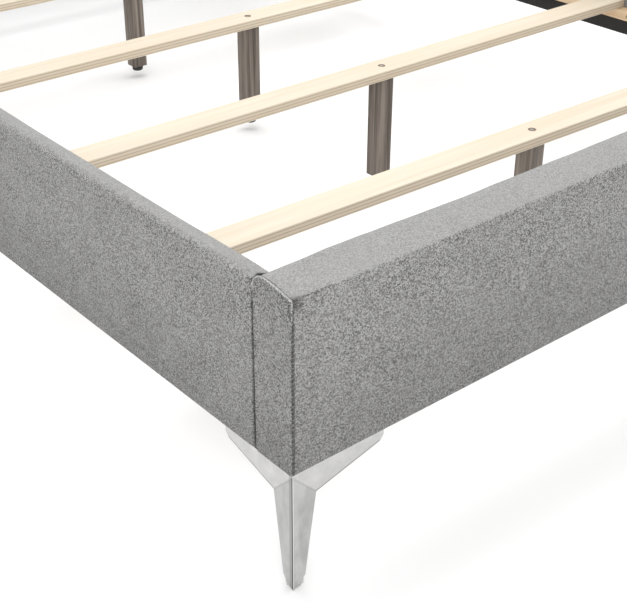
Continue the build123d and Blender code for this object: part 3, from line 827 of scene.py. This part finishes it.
def cap_spine(x):
    """The last ring of an end cap, closed onto its upright middle line."""
    middle = (CAP_LO.y + CAP_HI.y) / 2
    low = CAP_LO.z + CAP_SPINE_LOW
    high = CAP_HI.z - CAP_SPINE_HIGH
    return [(x, middle, min(max(z, low), high)) for _, z in even_outline(CAP_INNER)]


def dimple(p, face, side):
    """The puckered dip where the cap's top seam meets the front seam."""
    height = CAP_HI.z - CREASE_DROP - 0.010
    away = math.hypot((p.y - CAP_LO.y) / DIMPLE_REACH, (p.z - height) / DIMPLE_REACH)
    if abs(p.x - face) < 0.003:
        p.x -= side * DIMPLE_IN * math.exp(-away * away)
        p.y += DIMPLE_BACK * math.exp(-away * away)
    return p


def weld(made):
    """Join points that fall on the same place."""
    mesh = bmesh.new()
    mesh.from_mesh(made.data)
    bmesh.ops.remove_doubles(mesh, verts=mesh.verts, dist=WELD)
    bmesh.ops.recalc_face_normals(mesh, faces=mesh.faces)
    mesh.to_mesh(made.data)
    mesh.free()


def stitch_cap(name, face, side):
    """The row of stitches under the welt of an end cap."""
    path = [
        Vector((face - side * 0.0005, y, z))
        for y, z in even_outline(0.0042) if z > CAP_HI.z - WELT_DROP
    ]
    stitches(f"end_cap_stitches_{name}", path, Vector((side, 0, 0)))


def make_welt(side):
    """The raised welt over an end cap's top edge, thinning out at both ends."""
    name = side_name(side)
    low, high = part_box(f"footboard_end_cap_{name}")
    face = low.x if side < 0 else high.x
    path = [
        Vector((face - side * 0.0014, y, z))
        for y, z in even_outline(-0.0002) if z > CAP_HI.z - WELT_DROP
    ]
    shares = [min(k, len(path) - 1 - k) / WELT_TAPER for k in range(len(path))]
    points = []
    out = Vector((side, 0, 0))
    for k, p in enumerate(path):
        way = (path[min(k + 1, len(path) - 1)] - path[max(k - 1, 0)]).normalized()
        sideways = way.cross(out).normalized()
        radius = WELT_RADIUS * (WELT_THIN + (1 - WELT_THIN) * min(shares[k], 1.0))
        for n in range(WELT_SIDES):
            angle = math.tau * n / WELT_SIDES
            points.append(p + (out * math.cos(angle) + sideways * math.sin(angle)) * radius)
    faces = grid_faces(len(path), WELT_SIDES, True)
    faces.append(tuple(reversed(range(WELT_SIDES))))
    faces.append(tuple(len(points) - WELT_SIDES + n for n in range(WELT_SIDES)))
    made = piece(f"end_cap_welt_{name}", points, faces, VELVET_WELT_LIT)
    weld(made)
    subdivide(made)


def make_front_seams():
    """Stitched seams down the front's two upright corners, and the short creases beside them."""
    crease = CAP_HI.z - CREASE_DROP
    for side, x in ((-1, FOOT_LO.x), (1, FOOT_HI.x)):
        name = side_name(side)
        down = [
            Vector((x - side * 0.0008, CAP_LO.y + 0.0002, z))
            for z in even_steps(CAP_LO.z + 0.006, crease - 0.020, 0.01)
        ]
        stitches(f"front_seam_stitches_{name}", down, Vector((0, -1, 0)))
        across = [
            Vector((x - side * d, CAP_LO.y + 0.0016, crease + 0.0004))
            for d in even_steps(0.012, 0.062, 0.005)
        ]
        stitches(f"crease_stitches_{name}", across, Vector((0, -0.6, 0.8)))


# ---------------------------------------------------------------- side rails

RAIL_END_TUCK = 0.007
RAIL_TUCK_REACH = 0.0035
RAIL_TUCK_STATIONS = (0.0015, 0.003, 0.0055)
RAIL_OUTER_ROUND = 0.011
RAIL_INNER_ROUND = 0.009
RAIL_TOP_FALL = 0.005
RAIL_TOE_ROUND = 0.0015
RAIL_END_FADE = 0.02


def rail_outline():
    """The left rail's section (x, z), from the outer foot upward and over."""
    outer = RAIL_LO.x
    inner = RAIL_HI.x
    base = RAIL_LO.z
    top = RAIL_HI.z
    r = BASE_ROUND
    points = arc((outer + r, base + r), r, 270, 180, 3)
    r = RAIL_OUTER_ROUND
    points += arc((outer + r, top - r), r, 180, 84, 6)
    r = RAIL_INNER_ROUND
    points += arc((inner - r, top - RAIL_TOP_FALL - r), r, 76, 0, 5)
    r = RAIL_TOE_ROUND
    points += arc((inner - r, base + r), r, 0, -90, 2)
    return points


def rail_free(point):
    """1 on the middle of the rail's cloth, 0 at its ends, base and inner foot."""
    ends = min(point[1] - RAIL_LO.y, RAIL_HI.y - point[1])
    base = point[2] - RAIL_LO.z
    return float(np.clip(ends / RAIL_END_FADE, 0, 1) * np.clip(base / BASE_FADE, 0, 1))


def make_rail(side):
    """A side rail's padded cover, from the footboard to the headboard."""
    name = side_name(side)
    outline = resample(rail_outline(), GRID)
    hole = ((RAIL_BOARD_LO.x, RAIL_BOARD_LO.z), (RAIL_BOARD_HI.x, RAIL_BOARD_HI.z))
    stations = even_steps(RAIL_LO.y, RAIL_HI.y, GRID * 1.2)
    tucks = np.array(RAIL_TUCK_STATIONS)
    stations = np.sort(np.concatenate([stations, RAIL_LO.y + tucks, RAIL_HI.y - tucks]))
    points, faces, back = sleeve(outline, hole, stations, lambda s, p: (p[0], s, p[1]))
    faces = [f[::-1] for f in faces]
    points = [Vector(p) for p in points]
    for p in points[:back]:
        end = min(p.y - RAIL_LO.y, RAIL_HI.y - p.y)
        if p.x < RAIL_LO.x + 0.01:
            p.x += RAIL_END_TUCK * math.exp(-((end / RAIL_TUCK_REACH) ** 2))
        if p.x > RAIL_HI.x - 0.0005 and p.z < RAIL_LINING_HI.z:
            p.x = RAIL_LINING_LO.x - UNDER_LINING
    if side > 0:
        points = [Vector((-p.x, p.y, p.z)) for p in points]
        faces = [f[::-1] for f in faces]
    made = piece(
        f"rail_upholstery_{name}", points, faces, VELVET_RAIL,
        (f"rail_cover_{name}",),
    )
    settle(made, lambda p: 1.0 if rail_board(p) else 1.0 - rail_free(p), 0.0018)
    ripple(made, 0.0010, 10.0, lambda p: 0.0 if rail_board(p) else rail_free(p) * outer_face(p))
    subdivide(made)


def outer_face(p):
    """1 on a rail's outer face and top, 0 on its inner face, which the ledger lies on."""
    return 1.0 if abs(p[0]) > -RAIL_HI.x + 0.006 else 0.0


def rail_board(p):
    """Whether a point of the cover lies against the rail board, or on the rail's inner face."""
    across = abs(p[0])
    if across < -RAIL_LINING_LO.x + 0.001:
        return True
    return (
        -RAIL_BOARD_HI.x - ON_BOARD < across < -RAIL_BOARD_LO.x + ON_BOARD
        and RAIL_BOARD_LO.z - ON_BOARD < p[2] < RAIL_BOARD_HI.z + ON_BOARD
    )


# ---------------------------------------------------------------- headboard

CHANNELS = 9
SEAM_DEPTH = 0.024
ROLL_STEP = 0.0075
ROLL_CLOSE = 0.045
PAD_CLEAR = 0.0035
PAD_BACK = 0.002
WINDOW_GAP = 0.001
TOP_CORNER = 0.024
LOW_CORNER = 0.003
BORDER_STEP = 0.012


def make_channel_pad():
    """The channelled front: upright rolls, sewn down between them and drawn in at both ends."""
    columns = even_steps(PAD_LO.x, PAD_HI.x, ROLL_STEP)
    rows = even_steps(PAD_LO.z, PAD_HI.z, GRID)
    pitch = (PAD_HI.x - PAD_LO.x) / CHANNELS
    points = []
    for z in rows:
        end = min(z - PAD_LO.z, PAD_HI.z - z)
        close = math.sqrt(max(0.0, 1 - (1 - min(end / ROLL_CLOSE, 1.0)) ** 2))
        for x in columns:
            across = ((x - PAD_LO.x) / pitch) % 1.0
            roll = math.sqrt(max(0.0, 1 - (2 * across - 1) ** 2)) ** 0.8
            depth = SEAM_DEPTH * (1 - roll * close)
            points.append((x, PAD_LO.y + PAD_CLEAR + depth, z))
    front = len(points)
    points += [(x, PAD_HI.y, z) for z in rows for x in columns]
    wide = len(columns)
    faces = grid_faces(len(rows), wide, False)
    faces += grid_faces(len(rows), wide, False, front, True)
    faces += rim_faces(len(rows), wide, front)
    made = piece(
        "headboard_channels", points, faces, VELVET_HEAD, ("headboard_pad",)
    )
    settle(made, lambda p: seam_hold(p, pitch), 0.0032, 5.0)
    pucker(made, pitch)
    subdivide(made)


def rim_faces(rows, wide, front):
    """Quads that close a front grid to a back grid round their four edges."""
    edge = list(range(wide))
    edge += [r * wide + wide - 1 for r in range(1, rows)]
    edge += [(rows - 1) * wide + c for c in range(wide - 2, -1, -1)]
    edge += [r * wide for r in range(rows - 2, 0, -1)]
    pairs = zip(edge, edge[1:] + edge[:1])
    return [(b, a, a + front, b + front) for a, b in pairs]


def seam_distance(x, pitch):
    """How far a place across the pad lies from the nearest channel seam."""
    across = (x - PAD_LO.x) % pitch
    return min(across, pitch - across)


def seam_hold(p, pitch):
    """1 on the seams, the rim and the back of the pad, 0 on the rolls."""
    if p[1] > PAD_HI.y - PAD_BACK:
        return 1.0
    rim = min(p[2] - PAD_LO.z, PAD_HI.z - p[2])
    away = min(seam_distance(p[0], pitch), rim)
    return float(1.0 - np.clip((away - 0.004) / 0.012, 0, 1))


def pucker(made, pitch):
    """Small drawn wrinkles that run out of each seam."""
    for vertex in made.data.vertices:
        p = vertex.co
        if p.y > PAD_HI.y - PAD_BACK:
            continue
        seam = seam_distance(p.x, pitch)
        fade = math.exp(-((seam / 0.028) ** 2)) * min(seam / 0.006, 1.0)
        drawn = noise.fractal(Vector((p.x * 6.0, 0.0, p.z * 55.0)), 1.0, 2.0, 2)
        broad = noise.fractal(p * 9.0, 1.0, 2.0, 2)
        p.y = max(PAD_LO.y, p.y - 0.0016 * fade * drawn - 0.0012 * broad * min(seam / 0.03, 1.0))
    made.data.update()


def make_border():
    """The padded border: a ring with soft edges round the channelled pad."""
    ring = border_ring()
    loops = border_section()
    count = len(ring)
    points = []
    for inward, depth in loops:
        for corner, way in ring:
            p = corner + way * inward
            points.append((p.x, HEAD_LO.y + depth, p.y))
    faces = grid_faces(len(loops) + 1, count, True)
    total = count * len(loops)
    faces = [tuple(i % total for i in f) for f in faces]
    made = piece(
        "headboard_border_cloth", points, faces, VELVET_HEAD, ("headboard_border",)
    )
    ripple(made, 0.0010, 10.0, border_free)
    subdivide(made)


def border_free(p):
    """1 on the border's front, 0 on its back and at its lower edge."""
    forward = np.clip((HEAD_HI.y - p[1] - 0.03) / 0.02, 0, 1)
    raised = np.clip((p[2] - HEAD_LO.z) / BASE_FADE, 0, 1)
    return float(forward * raised)


def border_ring():
    """Outer outline of the headboard with, at each point, the whole way in to the window."""
    window_lo = Vector((PAD_LO.x - WINDOW_GAP, PAD_LO.z - WINDOW_GAP))
    window_hi = Vector((PAD_HI.x + WINDOW_GAP, PAD_HI.z + WINDOW_GAP))
    corners = [
        (HEAD_LO.x, HEAD_LO.z, LOW_CORNER, 180), (HEAD_HI.x, HEAD_LO.z, LOW_CORNER, 270),
        (HEAD_HI.x, HEAD_HI.z, TOP_CORNER, 0), (HEAD_LO.x, HEAD_HI.z, TOP_CORNER, 90),
    ]
    outline = []
    for x, z, r, start in corners:
        sx = 1 if x < 0 else -1
        sz = 1 if z < (HEAD_LO.z + HEAD_HI.z) / 2 else -1
        outline += arc((x + sx * r, z + sz * r), r, start, start + 90, 5)
    outline = resample(outline, BORDER_STEP)
    ring = []
    for x, z in outline:
        target = Vector((
            window_edge(x, HEAD_LO.x, HEAD_HI.x, window_lo.x, window_hi.x),
            window_edge(z, HEAD_LO.z, HEAD_HI.z, window_lo.y, window_hi.y),
        ))
        corner = Vector((x, z))
        ring.append((corner, target - corner))
    return ring


def window_edge(value, low, high, inner_low, inner_high):
    """A place on the outer outline carried onto the window's edge."""
    return inner_low + (value - low) / (high - low) * (inner_high - inner_low)


def border_section():
    """Section of the border as (share of the way inward, depth behind the front)."""
    thick = HEAD_HI.y - HEAD_LO.y
    deep = PANEL_LO.y - HEAD_LO.y
    section = [(0.0, thick), (0.0, thick * 0.8), (0.0, thick * 0.6), (0.0, thick * 0.4)]
    section += [(0.0, 0.022), (0.012, 0.011), (0.045, 0.0042), (0.10, 0.0012)]
    section += [(t, 0.0) for t in (0.2, 0.35, 0.5, 0.65, 0.8)]
    section += [(0.90, 0.0012), (0.955, 0.0040), (0.985, 0.0085), (1.0, 0.015), (1.0, deep)]
    section += [(0.06, deep), (0.06, thick)]
    return section


# ---------------------------------------------------------------- slat screws

SLATS = 4
RECESS_SIDES = 20
RECESS_RINGS = ((0.0040, 0.0001), (0.0056, 0.0004), (0.0072, 0.0002), (0.0078, -0.0006))


def make_screw_recesses():
    """Darkened, crushed wood round the head of each slat screw: rings of radius and lift."""
    points = []
    faces = []
    for number in range(1, SLATS + 1):
        low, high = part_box(f"support_leg_{number}")
        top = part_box(f"slat_{number}")[1].z
        first = len(points)
        for radius, lift in RECESS_RINGS:
            for k in range(RECESS_SIDES):
                angle = math.tau * k / RECESS_SIDES
                points.append((
                    (low.x + high.x) / 2 + radius * math.cos(angle),
                    (low.y + high.y) / 2 + radius * math.sin(angle),
                    top + lift,
                ))
        faces += grid_faces(len(RECESS_RINGS), RECESS_SIDES, True, first, True)
    piece("slat_screw_recesses", points, faces, CRUSHED_WOOD)


# ---------------------------------------------------------------- staples

STAPLE_HALF = 0.005
STAPLE_WIDE = 0.0005
STAPLE_THICK = 0.0006
STAPLE_PITCH = 0.045
STAPLE_INSET = 0.012
STAPLE_SINK = 0.0004


def staple(points, faces, place, along, out):
    """The flat crown of one staple, lying on the lining."""
    side = along.cross(out)
    first = len(points)
    for lift in (0.0, STAPLE_THICK):
        for a, s in ((-1, -1), (1, -1), (1, 1), (-1, 1)):
            points.append(
                place + along * STAPLE_HALF * a + side * STAPLE_WIDE * s + out * lift
            )
    for f in ((0, 1, 2, 3), (7, 6, 5, 4), (0, 4, 5, 1), (1, 5, 6, 2), (2, 6, 7, 3), (3, 7, 4, 0)):
        faces.append(tuple(first + i for i in f))


def make_staples():
    """Rows of staples that hold the black lining behind the headboard."""
    points = []
    faces = []
    y = HEAD_HI.y - STAPLE_SINK
    inset = STAPLE_INSET
    out = Vector((0, 1, 0))
    for z in (LINING_LO.z + inset, LINING_HI.z - inset):
        for x in even_steps(LINING_LO.x + 0.03, LINING_HI.x - 0.03, STAPLE_PITCH):
            staple(points, faces, Vector((x, y, z)), Vector((1, 0, 0)), out)
    for x in (LINING_LO.x + inset, LINING_HI.x - inset):
        for z in even_steps(LINING_LO.z + 0.04, LINING_HI.z - 0.04, STAPLE_PITCH):
            staple(points, faces, Vector((x, y, z)), Vector((0, 0, 1)), out)
    piece("lining_staples", points, faces, STEEL, smooth=False)


# ---------------------------------------------------------------- room, light and camera

FLOOR_HALF = 30.0
LENS = 71.38
SENSOR = 36.0
CAMERA_FROM_CORNER = (-0.7118, -0.8871, 1.0929)
CAMERA_DOWN = 30.61
CAMERA_ROLL = -0.178
CAMERA_TURN = -39.87


def make_floor():
    """A plain pale floor."""
    mesh = bpy.data.meshes.new("floor")
    size = FLOOR_HALF
    mesh.from_pydata(
        [(-size, -size, 0), (size, -size, 0), (size, size, 0), (-size, size, 0)], [], [(0, 1, 2, 3)]
    )
    g = Graph("pale_floor", (0.93, 0.93, 0.93), 0.85, Specular_IOR_Level=0.1)
    mesh.materials.append(g.material)
    floor = bpy.data.objects.new("floor", mesh)
    bpy.context.scene.collection.objects.link(floor)


def make_world():
    """A bright studio: white overhead, pale at the horizon, with a greyer band between."""
    world = bpy.data.worlds.new("studio")
    world.use_nodes = True
    nodes = world.node_tree.nodes
    links = world.node_tree.links
    coords = nodes.new("ShaderNodeTexCoord")
    split = nodes.new("ShaderNodeSeparateXYZ")
    ramp = nodes.new("ShaderNodeValToRGB")
    ramp.color_ramp.elements[0].position = 0.0
    ramp.color_ramp.elements[0].color = (0.86, 0.86, 0.86, 1)
    ramp.color_ramp.elements[1].position = 0.60
    ramp.color_ramp.elements[1].color = (1.0, 1.0, 1.0, 1)
    band = ramp.color_ramp.elements.new(0.16)
    band.color = (0.42, 0.42, 0.42, 1)
    links.new(coords.outputs["Generated"], split.inputs[0])
    links.new(split.outputs["Z"], ramp.inputs[0])
    links.new(ramp.outputs[0], nodes["Background"].inputs["Color"])
    nodes["Background"].inputs["Strength"].default_value = 0.95
    bpy.context.scene.world = world


def area_light(name, place, target, size, power):
    """A square softbox aimed at a point."""
    data = bpy.data.lights.new(name, "AREA")
    data.size = size
    data.energy = power
    light = bpy.data.objects.new(name, data)
    light.location = place
    light.rotation_euler = (Vector(target) - Vector(place)).to_track_quat("-Z", "Y").to_euler()
    bpy.context.scene.collection.objects.link(light)


def make_camera():
    """The camera stands off the foot-left corner and looks down along the bed."""
    data = bpy.data.cameras.new("camera")
    data.sensor_width = SENSOR
    data.lens = LENS
    camera = bpy.data.objects.new("camera", data)
    corner = Vector((CAP_LO.x, CAP_LO.y, 0.0))
    camera.location = corner + Vector(CAMERA_FROM_CORNER)
    camera.rotation_euler = [math.radians(a) for a in (90 - CAMERA_DOWN, CAMERA_ROLL, CAMERA_TURN)]
    bpy.context.scene.collection.objects.link(camera)
    bpy.context.scene.camera = camera


def make_room():
    """Floor, world, lights and camera."""
    make_floor()
    make_world()
    make_camera()
    area_light("key", (-2.6, -3.4, 3.4), (-0.4, -0.8, 0.3), 2.4, 62)
    area_light("fill", (3.4, -1.5, 3.2), (0.0, 0.0, 0.3), 2.6, 34)
    area_light("top", (0.2, 0.8, 4.2), (0.0, 0.2, 0.3), 3.0, 100)
    bpy.context.scene.view_settings.view_transform = "Standard"


make_room()
finish_cad_nodes()
make_footboard()
make_end_cap(-1)
make_end_cap(1)
make_welt(-1)
make_welt(1)
make_front_seams()
make_screw_recesses()
make_rail(-1)
make_rail(1)
make_channel_pad()
make_border()
make_staples()
